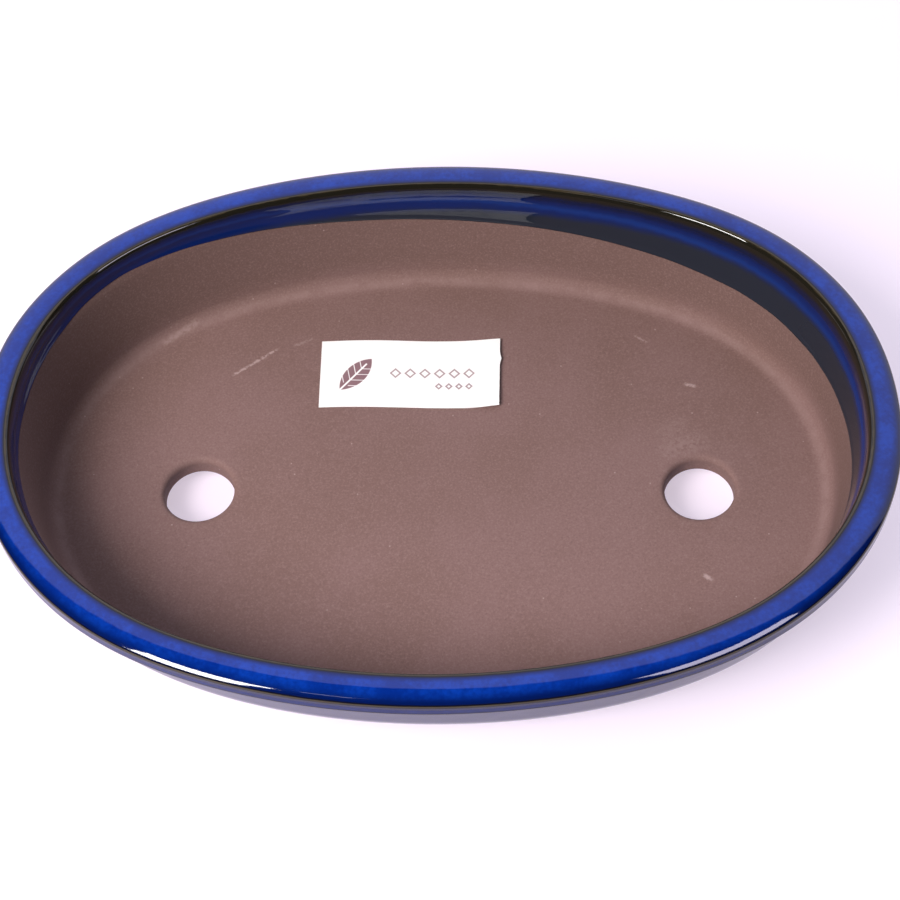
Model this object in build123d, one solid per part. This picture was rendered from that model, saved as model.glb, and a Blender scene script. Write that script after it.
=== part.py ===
from build123d import *
import os
from math import cos, radians, sin, tan

# Shallow oval bonsai pot in glazed stoneware, with four feet and a paper label inside.
# Millimetres. +X runs along the oval, +Z is up, and the origin is on the surface that the feet
# stand on, under the middle of the pot.

# Height
POT_HEIGHT = 50.0
FOOT_HEIGHT = 6.5
FLOOR_THICKNESS = 6.5

# Plan of the mouth, measured at the lip's inner edge: an oval of three tangent arcs in each quarter
MOUTH_HALF_LENGTH = 119.0
MOUTH_HALF_WIDTH = 80.0
END_ARC_LIMIT = 57.0  # degrees, direction of the outward normal where the end arc stops
SIDE_ARC_START = 81.0  # degrees, direction of the outward normal where the long side's arc starts
SHOULDER_RADIUS = 132.0  # the arc between the two

# Section of the wall. Offsets count outward from the lip's inner edge.
LIP_WIDTH = 8.5
LIP_FLAT = 3.0  # level part of the lip's top, next to its inner edge
LIP_DROP = 1.8  # fall of the lip's top at its outer edge
LIP_DEPTH = 6.4  # rim to the lip's underside
LIP_EDGE_RADIUS = 0.5
MOUTH_EDGE_RADIUS = 0.9
NECK_SETBACK = 3.2  # the wall starts this far in under the lip
OUTSIDE_SLOPE = 12.0  # degrees from upright
OUTSIDE_TURN_DEPTH = 27.0  # rim to the start of the rounding that leads to the underside
INSIDE_SLOPE = 10.0
COVE_RADIUS = 5.0  # where the inside wall meets the floor

# Glaze
GLAZE_THICKNESS = 0.4
GLAZE_INSIDE_DEPTH = 15.5  # rim to the glaze line on the inside
GLAZE_FOOT_LINE = 3.0  # height of the glaze line outside, above the underside

# Drain holes, cut by hand, so they aren't quite even about the middle
HOLE_RADIUS = 10.0
HOLE_POSITIONS = [(-70.0, -2.1), (74.6, -2.1)]
HOLE_UPPER_ROUND = 1.5
HOLE_LOWER_ROUND = 0.8

# Feet: lengths of a low band that follows the oval
FOOT_BAND_OUTER = -24.0
FOOT_BAND_INNER = -36.0
FOOT_DRAFT = 1.2  # each side leans in this much towards the ground
FOOT_START_X = 40.0
FOOT_END_X = 68.0
FOOT_END_RADIUS = 2.5

# Paper label on the floor
LABEL_LENGTH = 54.0
LABEL_WIDTH = 24.0
LABEL_THICKNESS = 0.2
LABEL_CENTRE = (-9.6, 38.0)
LABEL_CORNER_RADIUS = 0.4

RIM_Z = POT_HEIGHT
UNDERSIDE_Z = FOOT_HEIGHT
FLOOR_Z = UNDERSIDE_Z + FLOOR_THICKNESS


def oval_arcs():
    """The oval's arcs as (centre x, centre y, radius, first normal angle, last normal angle)."""
    c1, s1 = cos(radians(END_ARC_LIMIT)), sin(radians(END_ARC_LIMIT))
    c2, s2 = cos(radians(SIDE_ARC_START)), sin(radians(SIDE_ARC_START))
    # The end and side radii are the two that close the oval on both of its axes.
    x_gap = SHOULDER_RADIUS * (c1 - c2) - MOUTH_HALF_LENGTH
    y_gap = MOUTH_HALF_WIDTH - SHOULDER_RADIUS * (s2 - s1)
    determinant = (c1 - 1) * (1 - s2) + c2 * s1
    end_radius = (x_gap * (1 - s2) + c2 * y_gap) / determinant
    side_radius = ((c1 - 1) * y_gap - s1 * x_gap) / determinant
    end_x = MOUTH_HALF_LENGTH - end_radius
    shoulder_x = end_x + (end_radius - SHOULDER_RADIUS) * c1
    shoulder_y = (end_radius - SHOULDER_RADIUS) * s1
    side_y = MOUTH_HALF_WIDTH - side_radius
    arcs = [
        (end_x, 0, end_radius, -END_ARC_LIMIT, END_ARC_LIMIT),
        (-end_x, 0, end_radius, 180 - END_ARC_LIMIT, 180 + END_ARC_LIMIT),
        (0, side_y, side_radius, SIDE_ARC_START, 180 - SIDE_ARC_START),
        (0, -side_y, side_radius, 180 + SIDE_ARC_START, 360 - SIDE_ARC_START),
    ]
    for first, sign_x, sign_y in ((END_ARC_LIMIT, 1, 1), (180 - SIDE_ARC_START, -1, 1),
                                  (180 + END_ARC_LIMIT, -1, -1), (360 - SIDE_ARC_START, 1, -1)):
        last = first + SIDE_ARC_START - END_ARC_LIMIT
        arcs.append((sign_x * shoulder_x, sign_y * shoulder_y, SHOULDER_RADIUS, first, last))
    return arcs


def oval_ring(section):
    """Carries a section, drawn as (offset, height), round the oval."""
    pieces = []
    for centre_x, centre_y, radius, first, last in oval_arcs():
        upright = Plane.XZ * Pos(radius, 0) * section
        sector = revolve(upright, Axis.Z, last - first)
        pieces.append(Pos(centre_x, centre_y, 0) * Rot(0, 0, first) * sector)
    return pieces[0].fuse(*pieces[1:])


def oval_plate(offset, bottom, top):
    """A flat plate whose edge is parallel to the mouth's oval."""
    edges = []
    for centre_x, centre_y, radius, first, last in oval_arcs():
        plane = Plane.XY.offset(bottom)
        edge = Edge.make_circle(radius + offset, plane, first, last)
        edges.append(Pos(centre_x, centre_y, 0) * edge)
    outline = Wire.combine(edges)[0]
    return extrude(Face(outline), amount=top - bottom, dir=(0, 0, 1))


def floor_edge_offset():
    """Offset at which the inside cove reaches the floor."""
    slope = radians(INSIDE_SLOPE)
    cove_top = FLOOR_Z + COVE_RADIUS * (1 - sin(slope))
    return -tan(slope) * (RIM_Z - cove_top) - COVE_RADIUS * cos(slope)


def turn_radius():
    """Radius that takes the outside wall round to the level underside."""
    drop = RIM_Z - OUTSIDE_TURN_DEPTH - UNDERSIDE_Z
    return drop / (1 - sin(radians(OUTSIDE_SLOPE)))


def base_edge_offset():
    """Offset at which the outside rounding reaches the underside."""
    wall_run = (OUTSIDE_TURN_DEPTH - LIP_DEPTH) * tan(radians(OUTSIDE_SLOPE))
    turn_start = LIP_WIDTH - NECK_SETBACK - wall_run
    return turn_start - turn_radius() * cos(radians(OUTSIDE_SLOPE))


def wall_section():
    """Whole section of the wall, glaze included, from the floor plate out to the lip."""
    inner_edge = min(floor_edge_offset(), base_edge_offset()) - 1
    slope_in = radians(INSIDE_SLOPE)
    slope_out = radians(OUTSIDE_SLOPE)
    cove_top_z = FLOOR_Z + COVE_RADIUS * (1 - sin(slope_in))
    cove_top = (-tan(slope_in) * (RIM_Z - cove_top_z), cove_top_z)
    cove_bottom = (floor_edge_offset(), FLOOR_Z)
    turn_z = RIM_Z - OUTSIDE_TURN_DEPTH
    turn_start = (base_edge_offset() + turn_radius() * cos(slope_out), turn_z)
    neck = (LIP_WIDTH - NECK_SETBACK, RIM_Z - LIP_DEPTH)
    lip_low = (LIP_WIDTH, RIM_Z - LIP_DEPTH)
    lip_edge = (LIP_WIDTH, RIM_Z - LIP_DROP)
    floor_line = Line((inner_edge, FLOOR_Z), cove_bottom)
    cove = TangentArc(cove_bottom, cove_top, tangent=(1, 0))
    inside = Line(cove_top, (0, RIM_Z))
    lip_flat = Line((0, RIM_Z), (LIP_FLAT, RIM_Z))
    lip_fall = TangentArc((LIP_FLAT, RIM_Z), lip_edge, tangent=(1, 0))
    lip_side = Line(lip_edge, lip_low)
    lip_under = Line(lip_low, neck)
    outside = Line(neck, turn_start)
    turn = TangentArc(turn_start, (base_edge_offset(), UNDERSIDE_Z),
                      tangent=(-sin(slope_out), -cos(slope_out)))
    under = Line((base_edge_offset(), UNDERSIDE_Z), (inner_edge, UNDERSIDE_Z))
    closing = Line((inner_edge, UNDERSIDE_Z), (inner_edge, FLOOR_Z))
    outline = Wire.combine([floor_line, cove, inside, lip_flat, lip_fall, lip_side, lip_under,
                            outside, turn, under, closing])[0]
    section = Sketch() + Face(outline)
    mouth_edge = section.vertices().filter_by(lambda v: abs(v.X) < 0.01 and v.Y > RIM_Z - 0.01)
    section = fillet(mouth_edge, MOUTH_EDGE_RADIUS)
    lip_edges = section.vertices().filter_by(lambda v: v.X > LIP_WIDTH - 0.01)
    return fillet(lip_edges, LIP_EDGE_RADIUS)


def glaze_section(section):
    """The skin of the section where it is glazed: inside band, lip and outside wall."""
    skin = section - offset(section, amount=-GLAZE_THICKNESS)
    inside_line = RIM_Z - GLAZE_INSIDE_DEPTH
    foot_line = UNDERSIDE_Z + GLAZE_FOOT_LINE
    beyond = LIP_WIDTH + 10
    upper_zone = Pos(0, RIM_Z - GLAZE_INSIDE_DEPTH / 2) * Rectangle(2 * beyond, GLAZE_INSIDE_DEPTH)
    # Below the inside glaze line, the zone's left edge runs down through the middle of the wall.
    wall_middle = [
        (0.7, inside_line),
        (-1.8, FLOOR_Z + 10),
        (-6.5, FLOOR_Z + 1),
        (-12.0, foot_line),
    ]
    lower_outline = Polyline(*wall_middle, (beyond, foot_line), (beyond, inside_line), close=True)
    lower_zone = make_face(lower_outline)
    return skin & (upper_zone + lower_zone)


def drain_hole(x, y):
    """Cutter for one drain hole, with the floor's edges rounded over above and below."""
    upper = HOLE_UPPER_ROUND
    lower = HOLE_LOWER_ROUND
    clear = 1.0  # runs past both faces
    outline = Wire.combine([
        Line((0, UNDERSIDE_Z - clear), (HOLE_RADIUS + lower, UNDERSIDE_Z - clear)),
        Line((HOLE_RADIUS + lower, UNDERSIDE_Z - clear), (HOLE_RADIUS + lower, UNDERSIDE_Z)),
        TangentArc((HOLE_RADIUS + lower, UNDERSIDE_Z), (HOLE_RADIUS, UNDERSIDE_Z + lower),
                   tangent=(-1, 0)),
        Line((HOLE_RADIUS, UNDERSIDE_Z + lower), (HOLE_RADIUS, FLOOR_Z - upper)),
        TangentArc((HOLE_RADIUS, FLOOR_Z - upper), (HOLE_RADIUS + upper, FLOOR_Z),
                   tangent=(0, 1)),
        Line((HOLE_RADIUS + upper, FLOOR_Z), (HOLE_RADIUS + upper, FLOOR_Z + clear)),
        Line((HOLE_RADIUS + upper, FLOOR_Z + clear), (0, FLOOR_Z + clear)),
        Line((0, FLOOR_Z + clear), (0, UNDERSIDE_Z - clear)),
    ])[0]
    return Pos(x, y, 0) * revolve(Plane.XZ * Face(outline), Axis.Z, 360)


def clay_body(section):
    """The dish: wall, lip core, cove and floor, with the drain holes cut through."""
    inner_edge = section.bounding_box().min.X
    body = oval_ring(section).fuse(oval_plate(inner_edge, UNDERSIDE_Z, FLOOR_Z)).clean()
    for x, y in HOLE_POSITIONS:
        body -= drain_hole(x, y)
    return body


def feet():
    """Four lengths of one low band that follows the oval under the floor."""
    outline = Polyline(
        (FOOT_BAND_INNER, UNDERSIDE_Z),
        (FOOT_BAND_OUTER, UNDERSIDE_Z),
        (FOOT_BAND_OUTER - FOOT_DRAFT, 0),
        (FOOT_BAND_INNER + FOOT_DRAFT, 0),
        close=True,
    )
    band = oval_ring(make_face(outline))
    length = FOOT_END_X - FOOT_START_X
    middle_x = (FOOT_START_X + FOOT_END_X) / 2
    made = {}
    for side, sign_x in (("left", -1), ("right", 1)):
        for row, sign_y in (("front", -1), ("rear", 1)):
            block = Box(length, MOUTH_HALF_WIDTH, 2 * FOOT_HEIGHT)
            foot = band & Pos(sign_x * middle_x, sign_y * MOUTH_HALF_WIDTH / 2, 0) * block
            corners = foot.edges().filter_by(is_foot_corner)
            made[f"foot_{row}_{side}"] = fillet(corners, FOOT_END_RADIUS)
    return made


def is_foot_corner(edge):
    """True for the four edges that run up a foot's two end faces."""
    middle = edge @ 0.5
    at_end = min(abs(abs(middle.X) - FOOT_START_X), abs(abs(middle.X) - FOOT_END_X)) < 0.01
    return at_end and 1 < middle.Z < FOOT_HEIGHT - 1


def paper_label():
    """The sticker that lies on the floor, near the rear wall."""
    outline = RectangleRounded(LABEL_LENGTH, LABEL_WIDTH, LABEL_CORNER_RADIUS)
    return extrude(Pos(*LABEL_CENTRE, FLOOR_Z) * outline, LABEL_THICKNESS)


def main():
    whole = wall_section()
    glaze = glaze_section(whole)
    parts = {
        "clay_body": clay_body(whole - glaze),
        "glaze_coat": oval_ring(glaze).clean(),
        "paper_label": paper_label(),
    }
    parts.update(feet())
    os.makedirs("parts", exist_ok=True)
    for name, shape in parts.items():
        export_step(shape, f"parts/{name}.step")


main()
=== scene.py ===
import math

import bmesh
import bpy
import numpy as np
from mathutils import Matrix, Vector, noise
from mathutils.geometry import delaunay_2d_cdt


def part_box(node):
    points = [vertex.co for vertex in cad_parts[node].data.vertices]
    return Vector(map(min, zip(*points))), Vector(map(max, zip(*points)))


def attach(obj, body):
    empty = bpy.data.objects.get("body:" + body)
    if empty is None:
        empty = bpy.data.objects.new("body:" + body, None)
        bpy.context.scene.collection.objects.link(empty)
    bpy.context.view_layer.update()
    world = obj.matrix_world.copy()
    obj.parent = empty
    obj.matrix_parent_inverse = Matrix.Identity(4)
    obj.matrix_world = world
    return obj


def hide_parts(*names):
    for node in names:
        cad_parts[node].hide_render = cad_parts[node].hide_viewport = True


# A shallow oval bonsai pot: bare stoneware inside, cobalt glaze outside and over the lip, and a paper
# label on its floor. Lengths here are in millimetres until a mesh is made, which is in metres.
MM = 0.001

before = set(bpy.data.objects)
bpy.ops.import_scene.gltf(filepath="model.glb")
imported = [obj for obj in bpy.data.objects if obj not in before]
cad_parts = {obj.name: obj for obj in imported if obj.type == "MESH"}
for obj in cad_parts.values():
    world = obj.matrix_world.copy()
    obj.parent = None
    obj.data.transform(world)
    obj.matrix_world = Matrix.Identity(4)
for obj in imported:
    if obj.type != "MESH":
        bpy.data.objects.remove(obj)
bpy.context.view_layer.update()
NOISE_SEED = 11
noise.seed_set(NOISE_SEED)

# ---- sizes, shared with the CAD design ----
HALF_LENGTH = 127.5
HALF_WIDTH = 88.5
LIP_WIDTH = 8.5
OVAL_WAVES = {2: 19.05, 4: -2.31, 6: 0.45, 8: -0.13}  # how the oval's reach varies with direction
OUTSIDE_SLOPE = math.radians(12)
COVE_RADIUS = 5.0
COVE_OFFSET = -6.5  # where the inside wall would meet the floor
TURN_RADIUS = 20.8
LIP_DEPTH = 6.4
NECK_SETBACK = 3.2
HOLE_RADIUS = 10.0
HOLES = [(-70.0, -2.1), (74.6, -2.1)]

glaze_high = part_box("glaze_coat")[1]
clay_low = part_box("clay_body")[0]
label_low, label_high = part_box("paper_label")
RIM_Z = glaze_high.z / MM
UNDERSIDE = clay_low.z / MM - RIM_Z  # heights below are counted from the rim
FLOOR = label_low.z / MM - RIM_Z
MOUTH_HALF_LENGTH = glaze_high.x / MM - LIP_WIDTH

COLUMNS = 540  # steps round the oval


# ---- the oval ----
def oval(theta, offset):
    """Points of the curve parallel to the mouth's oval; theta is the direction of the outward normal."""
    mean = MOUTH_HALF_LENGTH - sum(OVAL_WAVES.values())
    reach = mean + offset + sum(w * np.cos(k * theta) for k, w in OVAL_WAVES.items())
    swing = sum(-k * w * np.sin(k * theta) for k, w in OVAL_WAVES.items())
    x = reach * np.cos(theta) - swing * np.sin(theta)
    y = reach * np.sin(theta) + swing * np.cos(theta)
    return x, y


def inside_oval(x, y, offset):
    """True where a point is inside the parallel curve."""
    theta = np.linspace(0, 2 * math.pi, 181)
    edge_x, edge_y = oval(theta, offset)
    reach = edge_x * np.cos(theta) + edge_y * np.sin(theta)
    return np.all(x * np.cos(theta) + y * np.sin(theta) < reach)


BACK_SWELL = 0.55  # how much fuller the rim is all round the back
SHOULDER_SWELLS = [(0.85, 31), (0.10, 146)]  # how much more at each shoulder, and its direction in degrees
SHOULDER_SPREAD = 17


def back_swell(points):
    """The rim runs a little fuller round the back of the pot, most at its right shoulder."""
    x, y, z = points.T
    turn = np.degrees(np.arctan2(y, x))
    swell = BACK_SWELL
    for more, direction in SHOULDER_SWELLS:
        swell = swell + more * np.exp(-((turn - direction) / SHOULDER_SPREAD) ** 2)
    side = np.clip(y / 40, 0, 1)
    rise = np.clip(1 + z / -FLOOR, 0, 1)
    swell = swell * side * side * (3 - 2 * side) * rise
    out = np.stack([x / HALF_LENGTH ** 2, y / HALF_WIDTH ** 2], -1)
    out = out / np.maximum(np.linalg.norm(out, axis=1, keepdims=True), 1e-9)
    return points + np.column_stack([out * swell[:, None], np.zeros(len(points))])


WARP_LENGTH = 70  # about how far apart its highs and lows are
WARP_REACH = 0.35  # and how far it can move a point sideways; half that in height


def hand_warp(points):
    """The slow unevenness of a hand-finished pot, the same for the clay and its glaze."""
    warped = []
    for x, y, z in back_swell(points):
        p = Vector((x, y, z * 2)) / WARP_LENGTH
        sway = noise.noise_vector(p) * WARP_REACH
        warped.append((x + sway.x, y + sway.y, z + sway.z * 0.5))
    return np.array(warped)


# ---- sections ----
class Section:
    """A path in (offset, height) made of straight runs and round corners, read by distance along it."""

    def __init__(self, corners):
        points = [np.array(corners[0][:2], float)]
        self.corner_at = []
        for i in range(1, len(corners) - 1):
            before, here, after = (np.array(corners[j][:2], float) for j in (i - 1, i, i + 1))
            radius = corners[i][2]
            a = (before - here) / np.linalg.norm(before - here)
            b = (after - here) / np.linalg.norm(after - here)
            half = math.acos(np.clip(a @ b, -1, 1)) / 2
            middle = (a + b) / np.linalg.norm(a + b)
            centre = here + middle * radius / math.sin(half)
            start = here + a * radius / math.tan(half)
            end = here + b * radius / math.tan(half)
            first = math.atan2(*(start - centre)[::-1])
            last = math.atan2(*(end - centre)[::-1])
            turn = (last - first + math.pi) % (2 * math.pi) - math.pi
            steps = max(6, int(abs(turn) * radius / 0.08))
            arc = [centre + radius * np.array([math.cos(first + turn * k / steps),
                                               math.sin(first + turn * k / steps)])
                   for k in range(steps + 1)]
            self._run(points, arc[0])
            at = self._length(points)
            self.corner_at.append(at + abs(turn) * radius / 2)
            points.extend(arc[1:])
        self._run(points, np.array(corners[-1][:2], float))
        self.points = np.array(points)
        steps = np.linalg.norm(np.diff(self.points, axis=0), axis=1)
        self.distance = np.concatenate([[0], np.cumsum(steps)])
        self.length = self.distance[-1]

    @staticmethod
    def _run(points, end):
        start = points[-1]
        steps = max(1, int(np.linalg.norm(end - start) / 0.25))
        for k in range(1, steps + 1):
            points.append(start + (end - start) * k / steps)

    @staticmethod
    def _length(points):
        path = np.array(points)
        return np.linalg.norm(np.diff(path, axis=0), axis=1).sum()

    def at(self, distance, offset=0.0):
        """(offset, height) at a distance along the path, moved to the left of travel by an offset."""
        reach = 0.05
        u = np.interp(distance, self.distance, self.points[:, 0])
        z = np.interp(distance, self.distance, self.points[:, 1])
        ahead = np.clip(distance + reach, 0, self.length)
        behind = np.clip(distance - reach, 0, self.length)
        du = (np.interp(ahead, self.distance, self.points[:, 0])
              - np.interp(behind, self.distance, self.points[:, 0]))
        dz = (np.interp(ahead, self.distance, self.points[:, 1])
              - np.interp(behind, self.distance, self.points[:, 1]))
        size = np.hypot(du, dz)
        return u - offset * dz / size, z + offset * du / size


def smooth(x):
    """0 to 1 with level ends."""
    x = np.clip(x, 0, 1)
    return x * x * (3 - 2 * x)


INSIDE_REACH = 24.0  # how deep the section of the glaze starts, deeper than its line ever is
MOUTH_SHOULDER = (-0.5, -0.55)  # where the inside wall rolls over toward the mouth's edge
wall_lean = (MOUTH_SHOULDER[0] - COVE_OFFSET) / (MOUTH_SHOULDER[1] - FLOOR)
INSIDE_SLOPE = math.atan(wall_lean)
wall_foot_u = LIP_WIDTH - NECK_SETBACK - math.tan(OUTSIDE_SLOPE) * (-UNDERSIDE - LIP_DEPTH)
outer_corners = [  # offset, height and radius of each corner, from the inside wall over the lip
    (*MOUTH_SHOULDER, 1.7),
    (0.3, 0, 0.7),
    (3.6, 0, 9),
    (6.0, -0.48, 7),
    (7.4, -1.05, 4.4),
    (LIP_WIDTH, -2.05, 1.5),
    (LIP_WIDTH, -LIP_DEPTH, 0.5),
    (LIP_WIDTH - NECK_SETBACK, -LIP_DEPTH, 0.8),
    (wall_foot_u, UNDERSIDE, TURN_RADIUS),
    (wall_foot_u - 22.5, UNDERSIDE, 0),
]
inside_start = MOUTH_SHOULDER[0] - wall_lean * (INSIDE_REACH + MOUTH_SHOULDER[1])
glaze_path = Section([(inside_start, -INSIDE_REACH, 0)] + outer_corners)
clay_path = Section([(COVE_OFFSET - 6, FLOOR, 0), (COVE_OFFSET, FLOOR, COVE_RADIUS)] + outer_corners)
MOUTH_AT, LIP_TOP_AT, LIP_LOW_AT, NECK_AT, TURN_AT = (glaze_path.corner_at[i] for i in (1, 5, 6, 7, 8))
CLAY_SHIFT = clay_path.corner_at[2] - MOUTH_AT  # the two paths run together past this


# How deep the hand-wiped glaze line is, at equal steps from the right end by way of the back.
LINE_DEPTHS = (18.2, 19.9, 19.6, 18.1, 14.0, 8.9, 7.4, 8.9, 9.1, 9.6, 10.3, 11.3, 12.4, 13.6, 15.2, 17.0)


def glaze_line_depth(theta):
    """Depth of the inside glaze line: a smooth curve through LINE_DEPTHS, with a slight wobble."""
    steps = len(LINE_DEPTHS)
    place = np.mod(theta / (2 * math.pi), 1.0) * steps
    first = np.floor(place).astype(int)
    t = place - first
    before, here, after, beyond = (np.take(LINE_DEPTHS, first + k, mode="wrap") for k in (-1, 0, 1, 2))
    slope_here, slope_after = (after - before) / 2, (beyond - here) / 2
    rise = after - here
    depth = here + t * (slope_here + t * (3 * rise - 2 * slope_here - slope_after))
    depth = depth + t ** 3 * (slope_here + slope_after - 2 * rise)
    return depth + 0.14 * np.sin(7 * theta + 1) + 0.10 * np.sin(13 * theta) + 0.06 * np.sin(29 * theta + 2)


def groove(distance):
    """The shallow hollow under the lip's inner edge, where glaze pools."""
    return -0.35 * np.exp(-((MOUTH_AT - distance - 6.3) / 2.0) ** 2)


def rows_for(path_length, arrises, fine, coarse):
    """Distances along a section, close together at its sharp edges."""
    at, rows = 0.0, [0.0]
    while at < path_length - 1e-6:
        near = min(abs(at - a) for a in arrises)
        at = min(path_length, at + (fine if near < 1.3 else coarse))
        rows.append(at)
    return np.array(rows)


# ---- meshes ----
def mesh_object(name, points, faces, smooth_faces=True):
    """A mesh in metres from points in millimetres, with heights counted from the rim."""
    points = np.array(points, float)
    points[:, 2] += RIM_Z
    mesh = bpy.data.meshes.new(name)
    mesh.from_pydata((points * MM).tolist(), [], faces)
    mesh.update()
    if smooth_faces:
        mesh.polygons.foreach_set("use_smooth", [True] * len(mesh.polygons))
    obj = bpy.data.objects.new(name, mesh)
    bpy.context.scene.collection.objects.link(obj)
    return obj


def band_faces(rows, columns, closed, start=0):
    """Quads between rows of a ring mesh; closed also joins the last row to the first."""
    faces = []
    for i in range(rows if closed else rows - 1):
        for j in range(columns):
            a = start + i * columns + j
            b = start + i * columns + (j + 1) % columns
            c = start + ((i + 1) % rows) * columns + (j + 1) % columns
            d = start + ((i + 1) % rows) * columns + j
            faces.append((a, b, c, d))
    return faces


def tidy_normals(obj):
    mesh = bmesh.new()
    mesh.from_mesh(obj.data)
    bmesh.ops.remove_doubles(mesh, verts=mesh.verts, dist=1e-6)
    bmesh.ops.recalc_face_normals(mesh, faces=mesh.faces)
    mesh.to_mesh(obj.data)
    mesh.free()


def set_attribute(obj, name, values):
    attribute = obj.data.attributes.new(name, "FLOAT", "POINT")
    attribute.data.foreach_set("value", np.asarray(values, np.float32))


theta = np.linspace(0, 2 * math.pi, COLUMNS, endpoint=False)
GLAZE_BACK = -0.75  # how far into the clay the hidden back of the glaze lies


def glaze_place(row, line_at, foot_at):
    """Where a row of the glaze lies in each column, stretched to reach the glaze's two edges."""
    hold_in, hold_out = MOUTH_AT - 3.0, TURN_AT
    if row < hold_in:
        return hold_in - (hold_in - row) * (hold_in - line_at) / hold_in
    if row > hold_out:
        return hold_out + (row - hold_out) * (foot_at - hold_out) / (glaze_path.length - hold_out)
    return np.full(COLUMNS, row)


def make_glaze():
    """The glaze as a closed skin: its own surface, and a hidden back a little way into the clay."""
    line_at = MOUTH_AT - (glaze_line_depth(theta) / math.cos(INSIDE_SLOPE))
    foot_at = TURN_AT + 12.0 + 0.5 * np.sin(3 * theta + 1) + 0.25 * np.sin(11 * theta)
    base = rows_for(glaze_path.length, [MOUTH_AT, LIP_TOP_AT, LIP_LOW_AT, NECK_AT], 0.16, 0.8)
    points = []
    measures = {"arris": [], "depth": [], "edge": [], "wall": [], "outer": []}
    for row in base:
        at = glaze_place(row, line_at, foot_at)
        to_edge = np.minimum(at - line_at, foot_at - at)
        lift = 0.16 * np.exp(-((to_edge - 0.5) / 1.1) ** 2) - 0.3 * (1 - smooth(to_edge / 0.4))
        u, z = glaze_path.at(at, lift + groove(at))
        x, y = oval(theta, u)
        points.append(np.stack([x, y, z], -1))
        to_arris = [abs(at - arris_at) for arris_at in (MOUTH_AT, LIP_TOP_AT, LIP_LOW_AT)]
        measures["arris"].append(np.min(to_arris, axis=0))
        measures["depth"].append(np.where(at < MOUTH_AT, MOUTH_AT - at, 0))
        measures["edge"].append(to_edge)
        measures["wall"].append(np.maximum(at - LIP_TOP_AT, 0))
        measures["outer"].append(abs(at - LIP_TOP_AT))
    for row in base[::-4]:
        u, z = glaze_path.at(glaze_place(row, line_at, foot_at), GLAZE_BACK)
        x, y = oval(theta, u)
        points.append(np.stack([x, y, z], -1))
        for values in measures.values():
            values.append(np.zeros(COLUMNS))
    faces = band_faces(len(points), COLUMNS, closed=True)
    obj = mesh_object("glaze", hand_warp(np.concatenate(points)), faces)
    for name, values in measures.items():
        set_attribute(obj, name, np.concatenate(values))
    tidy_normals(obj)
    return obj


def hole_ring(centre, radius, z, angles):
    """One ring of a hand-cut hole, a little out of round."""
    wander = 1 + 0.010 * np.cos(2 * angles + centre[0]) + 0.006 * np.cos(3 * angles + 1)
    x = centre[0] + radius * wander * np.cos(angles)
    y = centre[1] + radius * wander * np.sin(angles)
    return np.stack([x, y, np.full(len(angles), z)], -1)


HOLE_COLUMNS = 72
HOLE_TOP, HOLE_BOTTOM = 1.7, 0.9  # rounding above and below
hole_angles = np.linspace(0, 2 * math.pi, HOLE_COLUMNS, endpoint=False)
hole_path = Section([
    (HOLE_RADIUS + HOLE_TOP + 1.8, FLOOR, 0),
    (HOLE_RADIUS, FLOOR, HOLE_TOP),
    (HOLE_RADIUS, UNDERSIDE, HOLE_BOTTOM),
    (HOLE_RADIUS + HOLE_BOTTOM + 0.8, UNDERSIDE, 0),
])


def plate(edge, height, spacing):
    """Triangles across the oval at one height, with the holes left out."""
    flat = [tuple(p[:2]) for p in edge]
    count = len(flat)
    edges = [(i, (i + 1) % count) for i in range(count)]
    ends = {FLOOR: 0.0, UNDERSIDE: hole_path.length}
    hole_u, _ = hole_path.at(ends[height])
    for centre in HOLES:
        start = len(flat)
        ring = hole_ring(centre, hole_u, height, hole_angles)
        flat.extend(tuple(p[:2]) for p in ring)
        edges.extend((start + i, start + (i + 1) % HOLE_COLUMNS) for i in range(HOLE_COLUMNS))
    half_x, half_y = abs(edge[:, 0]).max(), abs(edge[:, 1]).max()
    inset = half_x - MOUTH_HALF_LENGTH - spacing * 0.7
    for i, y in enumerate(np.arange(-half_y, half_y, spacing * 0.87)):
        for x in np.arange(-half_x + (i % 2) * spacing / 2, half_x, spacing):
            clear = all(math.hypot(x - c[0], y - c[1]) > hole_u + spacing * 0.6 for c in HOLES)
            if clear and inside_oval(x, y, inset):
                flat.append((x, y))
    found = delaunay_2d_cdt([Vector(p) for p in flat], edges, [], 1, 1e-6)
    faces = []
    for face in found[2]:
        if all(any((found[0][v] - Vector(c)).length > hole_u * 1.03 for v in face) for c in HOLES):
            faces.append(tuple(face))
    points = [(p.x, p.y, height) for p in found[0]]
    return np.array(points), faces


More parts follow.
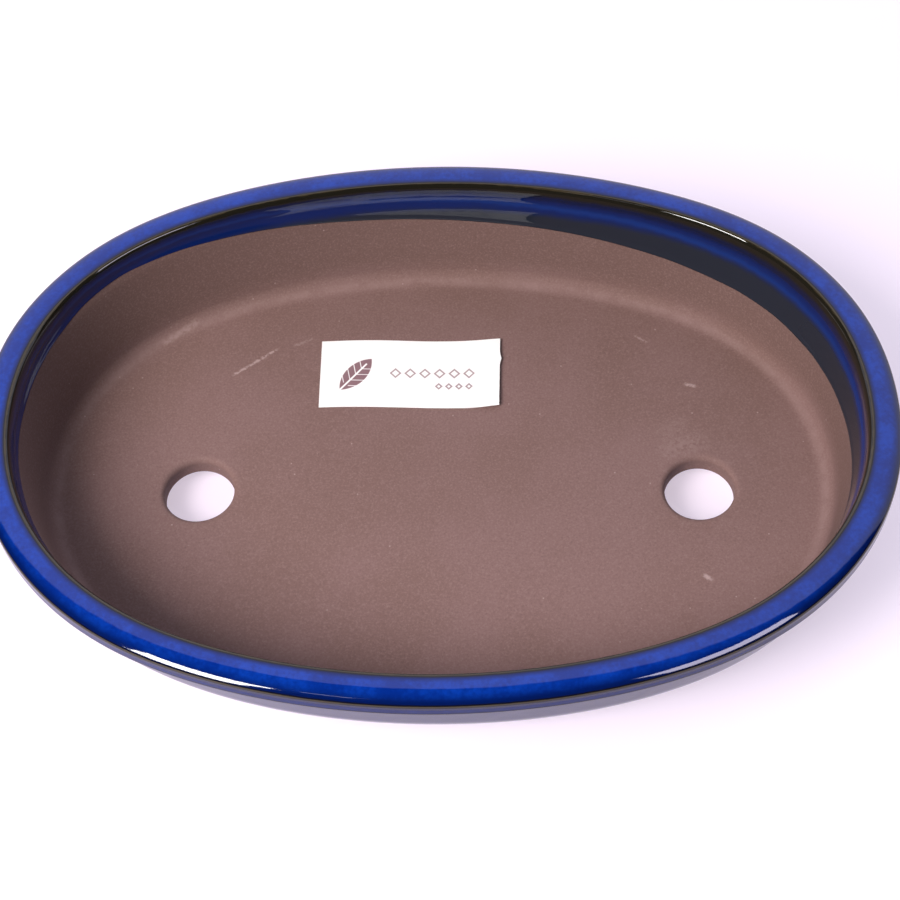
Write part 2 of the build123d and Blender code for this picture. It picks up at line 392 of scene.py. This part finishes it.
def make_clay():
    """The bare dish as one closed mesh: wall, floor, underside and the walls of the drain holes."""
    line_at = MOUTH_AT - (glaze_line_depth(theta) / math.cos(INSIDE_SLOPE))
    base = rows_for(clay_path.length, [clay_path.corner_at[0]], 0.4, 0.8)
    points, crease = [], []
    for row in base:
        on_glaze = row - CLAY_SHIFT
        under = smooth((on_glaze - line_at - 0.6) / 2.0)
        under = under * smooth((TURN_AT + 11.0 - on_glaze) / 2.0)
        u, z = clay_path.at(np.full(COLUMNS, row), -0.45 * under + groove(on_glaze))
        x, y = oval(theta, u)
        points.append(np.stack([x, y, np.broadcast_to(z, x.shape)], -1))
        crease.append(np.full(COLUMNS, abs(row - clay_path.corner_at[0] + 1.0)))
    rows = len(points)
    all_points = [np.concatenate(points)]
    faces = band_faces(rows, COLUMNS, closed=False)
    total = rows * COLUMNS
    for edge, height in ((points[0], FLOOR), (points[-1], UNDERSIDE)):
        found, triangles = plate(edge, height, 3.2)
        all_points.append(found)
        faces.extend(tuple(v + total for v in t) for t in triangles)
        total += len(found)
    for centre in HOLES:
        hole_rows = rows_for(hole_path.length, hole_path.corner_at, 0.35, 0.6)
        for row in hole_rows:
            u, z = hole_path.at(row)
            all_points.append(hole_ring(centre, u, z, hole_angles))
        faces.extend(band_faces(len(hole_rows), HOLE_COLUMNS, closed=False, start=total))
        total += len(hole_rows) * HOLE_COLUMNS
    obj = mesh_object("clay", hand_warp(np.concatenate(all_points)), faces)
    crease = np.concatenate(crease)
    set_attribute(obj, "crease", np.concatenate([crease, np.full(total - len(crease), 9.0)]))
    tidy_normals(obj)
    return obj


def make_label():
    """A paper sticker that has let go of the clay at its right end."""
    length = (label_high.x - label_low.x) / MM
    width = (label_high.y - label_low.y) / MM
    middle = (label_low + label_high) / 2 / MM
    across, along = 20, 46
    thickness = 0.16
    tops, uvs = [], []
    for i in range(along + 1):
        for j in range(across + 1):
            s, t = i / along, j / across
            x = middle.x - length / 2 + length * s
            y = middle.y - width / 2 + width * t
            curl = 1.5 * smooth((s - 0.80) / 0.26) * (0.45 + 0.55 * (1 - t))
            ripple = 0.12 * math.sin(9 * s + 2) * math.sin(5 * t)
            nick = 0.5 * math.exp(-((t - 0.70) / 0.05) ** 2) * smooth((s - 0.97) / 0.03)
            y += 0.35 * math.sin(5.5 * s + 0.6) * (1 - t) + 0.25 * math.sin(7 * s) * t
            tops.append((x - 0.4 * curl + nick, y, FLOOR + 0.3 + curl + ripple))
            uvs.append((s, t))
    count = len(tops)
    points = tops + [(x, y, z - thickness) for x, y, z in tops]
    faces = []
    for i in range(along):
        for j in range(across):
            a = i * (across + 1) + j
            quad = (a, a + across + 1, a + across + 2, a + 1)
            faces.append(quad)
            faces.append(tuple(v + count for v in reversed(quad)))
    rim = [i * (across + 1) for i in range(along + 1)]
    rim += [along * (across + 1) + j for j in range(1, across + 1)]
    rim += [i * (across + 1) + across for i in range(along - 1, -1, -1)]
    rim += [j for j in range(across - 1, 0, -1)]
    for k, a in enumerate(rim):
        b = rim[(k + 1) % len(rim)]
        faces.append((b, a, a + count, b + count))
    obj = mesh_object("label", points, faces, smooth_faces=False)
    layer = obj.data.uv_layers.new(name="sheet")
    for loop in obj.data.loops:
        layer.data[loop.index].uv = uvs[loop.vertex_index % count]
    return obj


# ---- materials ----
class Nodes:
    """A material's nodes, with short calls for the ones that repeat."""

    def __init__(self, name):
        self.material = bpy.data.materials.new(name)
        self.material.use_nodes = True
        self.tree = self.material.node_tree
        self.shader = self.tree.nodes["Principled BSDF"]
        self.place = self.add("ShaderNodeTexCoord").outputs["Object"]

    def add(self, kind, **settings):
        node = self.tree.nodes.new(kind)
        for key, value in settings.items():
            setattr(node, key, value)
        return node

    def link(self, value, socket):
        if isinstance(value, bpy.types.NodeSocket):
            self.tree.links.new(value, socket)
        else:
            socket.default_value = value

    def math(self, operation, a, b=0.0, clamp=False):
        node = self.add("ShaderNodeMath", operation=operation, use_clamp=clamp)
        self.link(a, node.inputs[0])
        self.link(b, node.inputs[1])
        return node.outputs[0]

    def noise(self, wavelength, detail=2.0, roughness=0.5):
        """Noise with features about that many millimetres long."""
        node = self.add("ShaderNodeTexNoise")
        self.link(self.place, node.inputs["Vector"])
        node.inputs["Scale"].default_value = 1 / (wavelength * MM)
        node.inputs["Detail"].default_value = detail
        node.inputs["Roughness"].default_value = roughness
        return node.outputs["Fac"]

    def cells(self, wavelength):
        node = self.add("ShaderNodeTexVoronoi")
        self.link(self.place, node.inputs["Vector"])
        node.inputs["Scale"].default_value = 1 / (wavelength * MM)
        return node

    def attribute(self, name):
        return self.add("ShaderNodeAttribute", attribute_name=name).outputs["Fac"]

    def ramp(self, value, low, high):
        """0 to 1 as value goes from low to high."""
        node = self.add("ShaderNodeMapRange", interpolation_type="SMOOTHSTEP")
        self.link(value, node.inputs["Value"])
        node.inputs["From Min"].default_value = low
        node.inputs["From Max"].default_value = high
        return node.outputs["Result"]

    def colours(self, value, stops, scale):
        """A colour ramp; stops are (position in millimetres, colour)."""
        node = self.add("ShaderNodeValToRGB")
        node.color_ramp.interpolation = "EASE"
        self.link(self.math("DIVIDE", value, scale), node.inputs["Fac"])
        elements = node.color_ramp.elements
        while len(elements) < len(stops):
            elements.new(0.5)
        for element, (position, colour) in zip(elements, stops):
            element.position = position / scale
            element.color = (*colour, 1)
        return node.outputs["Color"]

    def mix(self, factor, a, b, blend="MIX"):
        node = self.add("ShaderNodeMix", data_type="RGBA", blend_type=blend)
        self.link(factor, node.inputs["Factor"])
        self.link(a if isinstance(a, bpy.types.NodeSocket) else (*a, 1), node.inputs[6])
        self.link(b if isinstance(b, bpy.types.NodeSocket) else (*b, 1), node.inputs[7])
        return node.outputs[2]

    def bump(self, height, strength, distance, normal=None):
        node = self.add("ShaderNodeBump")
        node.inputs["Strength"].default_value = strength
        node.inputs["Distance"].default_value = distance * MM
        self.link(height, node.inputs["Height"])
        if normal is not None:
            self.link(normal, node.inputs["Normal"])
        return node.outputs["Normal"]

    def set(self, **values):
        for key, value in values.items():
            self.link(value, self.shader.inputs[key.replace("_", " ")])


COBALT = (0.0008, 0.016, 0.172)
COBALT_PALE = (0.002, 0.033, 0.285)
INSIDE_BLUE = (0.001, 0.011, 0.085)
STREAK_BLUE = (0.002, 0.020, 0.130)
NAVY = (0.0006, 0.006, 0.062)
WALL_NAVY = (0.002, 0.010, 0.075)
NEAR_BLACK = (0.0035, 0.0035, 0.006)
BREAK_BROWN = (0.034, 0.027, 0.015)
OLIVE = (0.010, 0.009, 0.006)
INSIDE_NAVY = (0.001, 0.006, 0.036)
CHARCOAL = (0.012, 0.017, 0.028)


def glaze_material():
    """Cobalt glaze: mottled where thick, black then brown where it thins over an edge."""
    n = Nodes("cobalt_glaze")
    fine = n.noise(1.1, 3)
    cloud = n.noise(9, 3, 0.6)
    wander = n.math("SUBTRACT", n.noise(3.5, 2), 0.5)
    arris = n.math("ADD", n.attribute("arris"), n.math("MULTIPLY", wander, 0.2))
    depth = n.math("ADD", n.attribute("depth"), n.math("MULTIPLY", wander, 1.1))
    depth = n.math("ADD", depth, n.math("MULTIPLY", n.math("SUBTRACT", n.noise(30, 1), 0.5), 2.0))
    mottle = n.math("ADD", n.math("MULTIPLY", fine, 0.6), n.math("MULTIPLY", cloud, 0.9))
    body = n.mix(n.ramp(mottle, 0.55, 1.05), COBALT, COBALT_PALE)
    outside = n.mix(n.ramp(n.attribute("outer"), 0.6, 4.2), NAVY, body)
    outside = n.mix(n.ramp(arris, 0.5, 2.2), NAVY, outside)
    outside = n.mix(n.ramp(n.attribute("wall"), 0.5, 4.5), outside, WALL_NAVY)
    outside = n.mix(n.ramp(arris, 0.35, 0.9), NEAR_BLACK, outside)
    outside = n.mix(n.ramp(arris, 0.12, 0.38), BREAK_BROWN, outside)
    band = n.math("ADD", n.attribute("depth"), n.attribute("edge"))
    inside = n.colours(n.math("DIVIDE", depth, band), [
        (0.0, BREAK_BROWN),
        (0.02, OLIVE),
        (0.12, OLIVE),
        (0.23, INSIDE_NAVY),
        (0.34, INSIDE_BLUE),
        (0.44, STREAK_BLUE),
        (0.54, INSIDE_BLUE),
    ], 1.0)
    inside = n.mix(n.ramp(depth, 8.0, 11.4), inside, CHARCOAL)
    colour = n.mix(n.ramp(n.attribute("depth"), 0.0, 0.1), outside, inside)
    colour = n.mix(n.ramp(n.attribute("edge"), 0.1, 0.5), NEAR_BLACK, colour)
    ripple = n.bump(n.noise(7, 1), 0.12, 0.5)
    normal = n.bump(fine, 0.05, 0.06, ripple)
    level = n.math("SUBTRACT", 0.5, n.math("MULTIPLY", n.ramp(n.attribute("wall"), 0.5, 2.0), 0.29))
    n.set(Base_Color=colour, Roughness=0.04, IOR=1.41, Specular_IOR_Level=level, Normal=normal)
    return n.material


CLAY = (0.168, 0.103, 0.096)
CLAY_DARK = (0.152, 0.092, 0.082)
CLAY_PALE = (0.245, 0.167, 0.160)
# the next colour is painted shade, laid over the clay of the inside walls
PAINTED_WALL_SHADE = (0.134, 0.081, 0.072)
CLAY_PIT = (0.105, 0.062, 0.055)
DUST = (0.36, 0.27, 0.26)
SCRATCHES = [  # from and to, half width, strength; millimetres on the floor
    ((-62.8, 38.0), (-50.2, 47.2), 0.40, 0.75),
    ((-45.0, 48.6), (-39.5, 51.2), 0.35, 0.30),
    ((-84.5, 49.5), (-74.5, 57.0), 0.70, 0.30),
    ((57.6, 51.6), (61.2, 49.2), 0.30, 0.45),
    ((72.0, 33.9), (75.0, 33.2), 0.45, 0.80),
    ((74.4, -30.6), (76.6, -32.2), 0.60, 0.80),
    ((64.0, 10.6), (77.0, 14.4), 3.00, 0.17),
    ((63.0, 15.5), (72.0, 20.0), 3.00, 0.10),
]


def scratch_mask(n, marks):
    """Where the clay is scuffed pale along short lines."""
    split = n.add("ShaderNodeSeparateXYZ")
    n.link(n.place, split.inputs[0])
    x = n.math("DIVIDE", split.outputs[0], MM)
    y = n.math("DIVIDE", split.outputs[1], MM)
    fray = n.math("MULTIPLY", n.math("SUBTRACT", n.noise(1.3, 2), 0.5), 1.2)
    broken = n.ramp(n.noise(0.9, 2), 0.32, 0.56)
    total = 0.0
    for (ax, ay), (bx, by), half_width, strength in marks:
        length = math.hypot(bx - ax, by - ay)
        dx, dy = (bx - ax) / length, (by - ay) / length
        px = n.math("SUBTRACT", x, (ax + bx) / 2)
        py = n.math("SUBTRACT", y, (ay + by) / 2)
        along = n.math("ADD", n.math("MULTIPLY", px, dx), n.math("MULTIPLY", py, dy))
        across = n.math("SUBTRACT", n.math("MULTIPLY", py, dx), n.math("MULTIPLY", px, dy))
        across = n.math("ABSOLUTE", n.math("ADD", across, fray))
        blur = 0.4 + half_width
        ends = n.ramp(n.math("ABSOLUTE", along), length / 2 + blur, length / 2 - blur)
        sides = n.ramp(across, half_width * 1.7, half_width * 0.3)
        mark = n.math("MULTIPLY", n.math("MULTIPLY", ends, sides), strength)
        total = n.math("MAXIMUM", n.math("MULTIPLY", mark, broken), total)
    return total


def clay_material():
    """Bare purple-brown stoneware with fine grain, dust and small scuffs, paler along the cove, with
    painted shade darkening its walls.
    """
    n = Nodes("bare_clay")
    grain = n.noise(0.6, 3, 0.7)
    patch = n.noise(34, 3, 0.5)
    colour = n.mix(n.ramp(patch, 0.35, 0.68), CLAY_DARK, CLAY)
    # Painted shade: the clay darkens from 3 mm above the floor and is fully darker from 10 mm up the
    # walls.
    split = n.add("ShaderNodeSeparateXYZ")
    n.link(n.place, split.inputs[0])
    height = n.math("SUBTRACT", n.math("DIVIDE", split.outputs[2], MM), RIM_Z + FLOOR)
    colour = n.mix(n.ramp(height, 3.0, 10.0), colour, PAINTED_WALL_SHADE)
    colour = n.mix(n.math("MULTIPLY", n.ramp(grain, 0.45, 0.75), 0.45), colour, CLAY_PALE)
    colour = n.mix(n.math("MULTIPLY", n.ramp(grain, 0.45, 0.25), 0.5), colour, CLAY_PIT)
    specks = n.cells(3.4)
    near = n.ramp(specks.outputs["Distance"], 0.10, 0.04)
    chosen = n.math("GREATER_THAN", specks.outputs["Color"], 0.78)
    colour = n.mix(n.math("MULTIPLY", n.math("MULTIPLY", near, chosen), 0.6), colour, DUST)
    colour = n.mix(scratch_mask(n, SCRATCHES), colour, DUST)
    # The clay is paler in a patchy band along the cove at the foot of the wall.
    cove_band = n.math("MULTIPLY", n.ramp(n.attribute("crease"), 2.2, 0.2), n.ramp(n.noise(5, 2), 0.2, 0.7))
    colour = n.mix(n.math("MULTIPLY", cove_band, 0.35), colour, CLAY_PALE)
    rough = n.bump(grain, 0.25, 0.12)
    normal = n.bump(n.noise(4, 3), 0.15, 0.10, rough)
    n.set(Base_Color=colour, Roughness=0.82, Normal=normal)
    n.shader.inputs["Specular IOR Level"].default_value = 0.25
    return n.material


PAPER = (0.80, 0.80, 0.80)
INK = (0.19, 0.105, 0.12)


def label_material():
    """White paper with a generic print: a plain leaf and two rows of lozenges."""
    n = Nodes("label_paper")
    uv = n.add("ShaderNodeUVMap", uv_map="sheet").outputs["UV"]
    split = n.add("ShaderNodeSeparateXYZ")
    n.link(uv, split.inputs[0])
    x = n.math("MULTIPLY", split.outputs[0], 54.0)
    y = n.math("MULTIPLY", split.outputs[1], 24.0)

    def distance(cx, cy):
        dx = n.math("SUBTRACT", x, cx)
        dy = n.math("SUBTRACT", y, cy)
        return n.math("SQRT", n.math("ADD", n.math("MULTIPLY", dx, dx), n.math("MULTIPLY", dy, dy)))

    def below(value, limit):
        return n.ramp(value, limit + 0.10, limit - 0.10)

    def lozenges(first, count, spacing, cy, half):
        """A row of small outlined lozenges."""
        shift = n.math("ADD", n.math("DIVIDE", n.math("SUBTRACT", x, first), spacing), 0.5)
        across = n.math("MULTIPLY", n.math("SUBTRACT", n.math("FRACT", shift), 0.5), spacing)
        reach = n.math("ADD", n.math("ABSOLUTE", across), n.math("ABSOLUTE", n.math("SUBTRACT", y, cy)))
        line = below(n.math("ABSOLUTE", n.math("SUBTRACT", reach, half)), 0.34)
        middle = first + (count - 1) * spacing / 2
        inside = below(n.math("ABSOLUTE", n.math("SUBTRACT", x, middle)), count * spacing / 2)
        return n.math("MULTIPLY", line, inside)

    leaf_x, leaf_y = 10.6, 11.6
    lean_x, lean_y = 0.64, 0.77
    from_x = n.math("SUBTRACT", x, leaf_x)
    from_y = n.math("SUBTRACT", y, leaf_y)
    along = n.math("ADD", n.math("MULTIPLY", from_x, lean_x), n.math("MULTIPLY", from_y, lean_y))
    across = n.math("SUBTRACT", n.math("MULTIPLY", from_x, lean_y), n.math("MULTIPLY", from_y, lean_x))
    blade_radius = 9.9
    leaf = n.math("MULTIPLY", below(distance(leaf_x - 5.2, leaf_y + 4.3), blade_radius),
                  below(distance(leaf_x + 5.2, leaf_y - 4.3), blade_radius))
    vein = n.math("MULTIPLY", below(n.math("ABSOLUTE", across), 0.26), below(along, 5.0))
    slant = n.math("MULTIPLY", n.math("ABSOLUTE", across), 0.8)
    rib = n.math("PINGPONG", n.math("SUBTRACT", along, slant), 1.3)
    ribs = n.math("MULTIPLY", below(rib, 0.14), below(n.math("ABSOLUTE", along), 4.5))
    vein = n.math("MAXIMUM", vein, ribs)
    leaf = n.math("SUBTRACT", leaf, vein, clamp=True)
    words = n.math("MAXIMUM", lozenges(22.5, 6, 4.4, 12.2, 1.45), lozenges(35.5, 4, 3.0, 7.6, 0.85))
    ink = n.math("ADD", leaf, n.math("MULTIPLY", words, 0.8), clamp=True)
    colour = n.mix(ink, PAPER, INK)
    n.set(Base_Color=colour, Roughness=0.55, Normal=n.bump(n.noise(0.4, 2), 0.05, 0.05))
    return n.material


def table_material():
    n = Nodes("white_table")
    tint = n.mix(n.noise(300, 2), (0.45, 0.42, 0.49), (0.47, 0.44, 0.51))
    n.set(Base_Color=tint, Roughness=0.6, Emission_Strength=0.55)
    n.shader.inputs["Emission Color"].default_value = (0.97, 0.86, 1, 1)
    return n.material


def give(obj, material, body="root", stands_for=()):
    obj.data.materials.clear()
    obj.data.materials.append(material)
    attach(obj, body)
    if stands_for:
        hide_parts(*stands_for)


# ---- the pot ----
clay_finish = clay_material()
give(make_clay(), clay_finish, stands_for=["clay_body"])
give(make_glaze(), glaze_material(), stands_for=["glaze_coat"])
give(make_label(), label_material(), stands_for=["paper_label"])
for name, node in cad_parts.items():
    if name.startswith("foot_"):
        node.data.materials.clear()
        node.data.materials.append(clay_finish)


# ---- the table, camera and light ----
def make_table():
    half = 2.5
    mesh = bpy.data.meshes.new("table")
    corners = [(-half, -half, 0), (half, -half, 0), (half, half, 0), (-half, half, 0)]
    mesh.from_pydata(corners, [], [(0, 1, 2, 3)])
    obj = bpy.data.objects.new("table", mesh)
    bpy.context.scene.collection.objects.link(obj)
    obj.data.materials.append(table_material())


CAMERA_AZIMUTH = math.radians(3.36)
CAMERA_ELEVATION = math.radians(57.77)
CAMERA_ROLL = math.radians(-3.10)
CAMERA_DISTANCE = 0.600
CAMERA_LENS = 88.1
AIM = Vector((0.0039, -0.0121, RIM_Z * MM))


def toward(azimuth, elevation):
    """Unit vector from the pot to a place at that azimuth (0 is the viewer's side) and elevation."""
    return Vector((math.sin(azimuth) * math.cos(elevation),
                   -math.cos(azimuth) * math.cos(elevation), math.sin(elevation)))


def make_camera():
    back = toward(CAMERA_AZIMUTH, CAMERA_ELEVATION)
    right = Vector((0, 0, 1)).cross(back).normalized()
    up = back.cross(right)
    right, up = (right * math.cos(CAMERA_ROLL) + up * math.sin(CAMERA_ROLL),
                 up * math.cos(CAMERA_ROLL) - right * math.sin(CAMERA_ROLL))
    data = bpy.data.cameras.new("camera")
    data.sensor_width = 36.0
    data.lens = CAMERA_LENS
    obj = bpy.data.objects.new("camera", data)
    bpy.context.scene.collection.objects.link(obj)
    turn = Matrix((right, up, back)).transposed().to_4x4()
    obj.matrix_world = Matrix.Translation(AIM + back * CAMERA_DISTANCE) @ turn
    bpy.context.scene.camera = obj


def softbox(name, azimuth, elevation, size, radiance, colour, soft=True, gleam=True):
    """A rectangular lamp that faces the pot; size is its angular width and height in degrees."""
    distance = 1.2
    data = bpy.data.lights.new(name, "AREA")
    data.shape = "RECTANGLE"
    data.size = 2 * distance * math.tan(math.radians(size[0] / 2))
    data.size_y = 2 * distance * math.tan(math.radians(size[1] / 2))
    data.energy = radiance * math.pi * data.size * data.size_y
    data.color = colour
    obj = bpy.data.objects.new(name, data)
    direction = toward(math.radians(azimuth), math.radians(elevation))
    obj.location = Vector((0, 0, RIM_Z * MM)) + direction * distance
    obj.rotation_mode = "QUATERNION"
    obj.rotation_quaternion = direction.to_track_quat("Z", "Y")
    obj.visible_camera = False
    obj.visible_diffuse = soft
    obj.visible_glossy = gleam
    bpy.context.scene.collection.objects.link(obj)


def make_world():
    """A dim room with a bright white backdrop behind the pot, curved forward overhead."""
    world = bpy.data.worlds.new("studio")
    bpy.context.scene.world = world
    world.use_nodes = True
    tree = world.node_tree
    background = tree.nodes["Background"]
    place = tree.nodes.new("ShaderNodeTexCoord").outputs["Generated"]

    def ramp(value, low, high, result=1.0):
        node = tree.nodes.new("ShaderNodeMapRange")
        node.interpolation_type = "SMOOTHSTEP"
        tree.links.new(value, node.inputs["Value"])
        node.inputs["From Min"].default_value = low
        node.inputs["From Max"].default_value = high
        node.inputs["To Max"].default_value = result
        return node.outputs["Result"]

    def combine(operation, a, b):
        node = tree.nodes.new("ShaderNodeMath")
        node.operation = operation
        for socket, value in zip(node.inputs, (a, b)):
            if isinstance(value, bpy.types.NodeSocket):
                tree.links.new(value, socket)
            else:
                socket.default_value = value
        return node.outputs[0]

    def lobe(azimuth, elevation, inner, outer, radiance):
        """A soft round patch of light; inner and outer are its angular radii in degrees."""
        node = tree.nodes.new("ShaderNodeVectorMath")
        node.operation = "DOT_PRODUCT"
        tree.links.new(place, node.inputs[0])
        node.inputs[1].default_value = toward(math.radians(azimuth), math.radians(elevation))
        facing = node.outputs["Value"]
        return ramp(facing, math.cos(math.radians(outer)), math.cos(math.radians(inner)), radiance)

    radiance = 1.36
    backdrop = lobe(170, 5, 61, 65, radiance)
    mirrored = tree.nodes.new("ShaderNodeLightPath").outputs["Is Glossy Ray"]
    overhead = combine("MAXIMUM", combine("SUBTRACT", lobe(172, 5, 75, 78, radiance), backdrop), 0.0)
    strength = combine("ADD", backdrop, combine("MULTIPLY", mirrored, overhead))
    strength = combine("ADD", strength, 0.01)
    tree.links.new(strength, background.inputs["Strength"])
    background.inputs["Color"].default_value = (0.99, 0.98, 1.15, 1)


make_table()
make_camera()
make_world()
softbox("key", -47.4, 44.5, (22, 31), 23.5, (1, 0.91, 0.87), gleam=False)
softbox("bounce", -25, 54, (24, 24), 5.6, (1, 0.95, 0.95), gleam=False)
softbox("key_gleam", -41, 39, (17, 19), 50, (1, 0.97, 0.96), soft=False)
softbox("strip_gleam", -21.5, 54, (5.5, 1.5), 9, (0.95, 0.95, 1), soft=False)
softbox("fill_gleam", 48.5, 41, (26, 18), 16, (0.90, 0.83, 1), soft=False)
bpy.context.scene.view_settings.view_transform = "Standard"
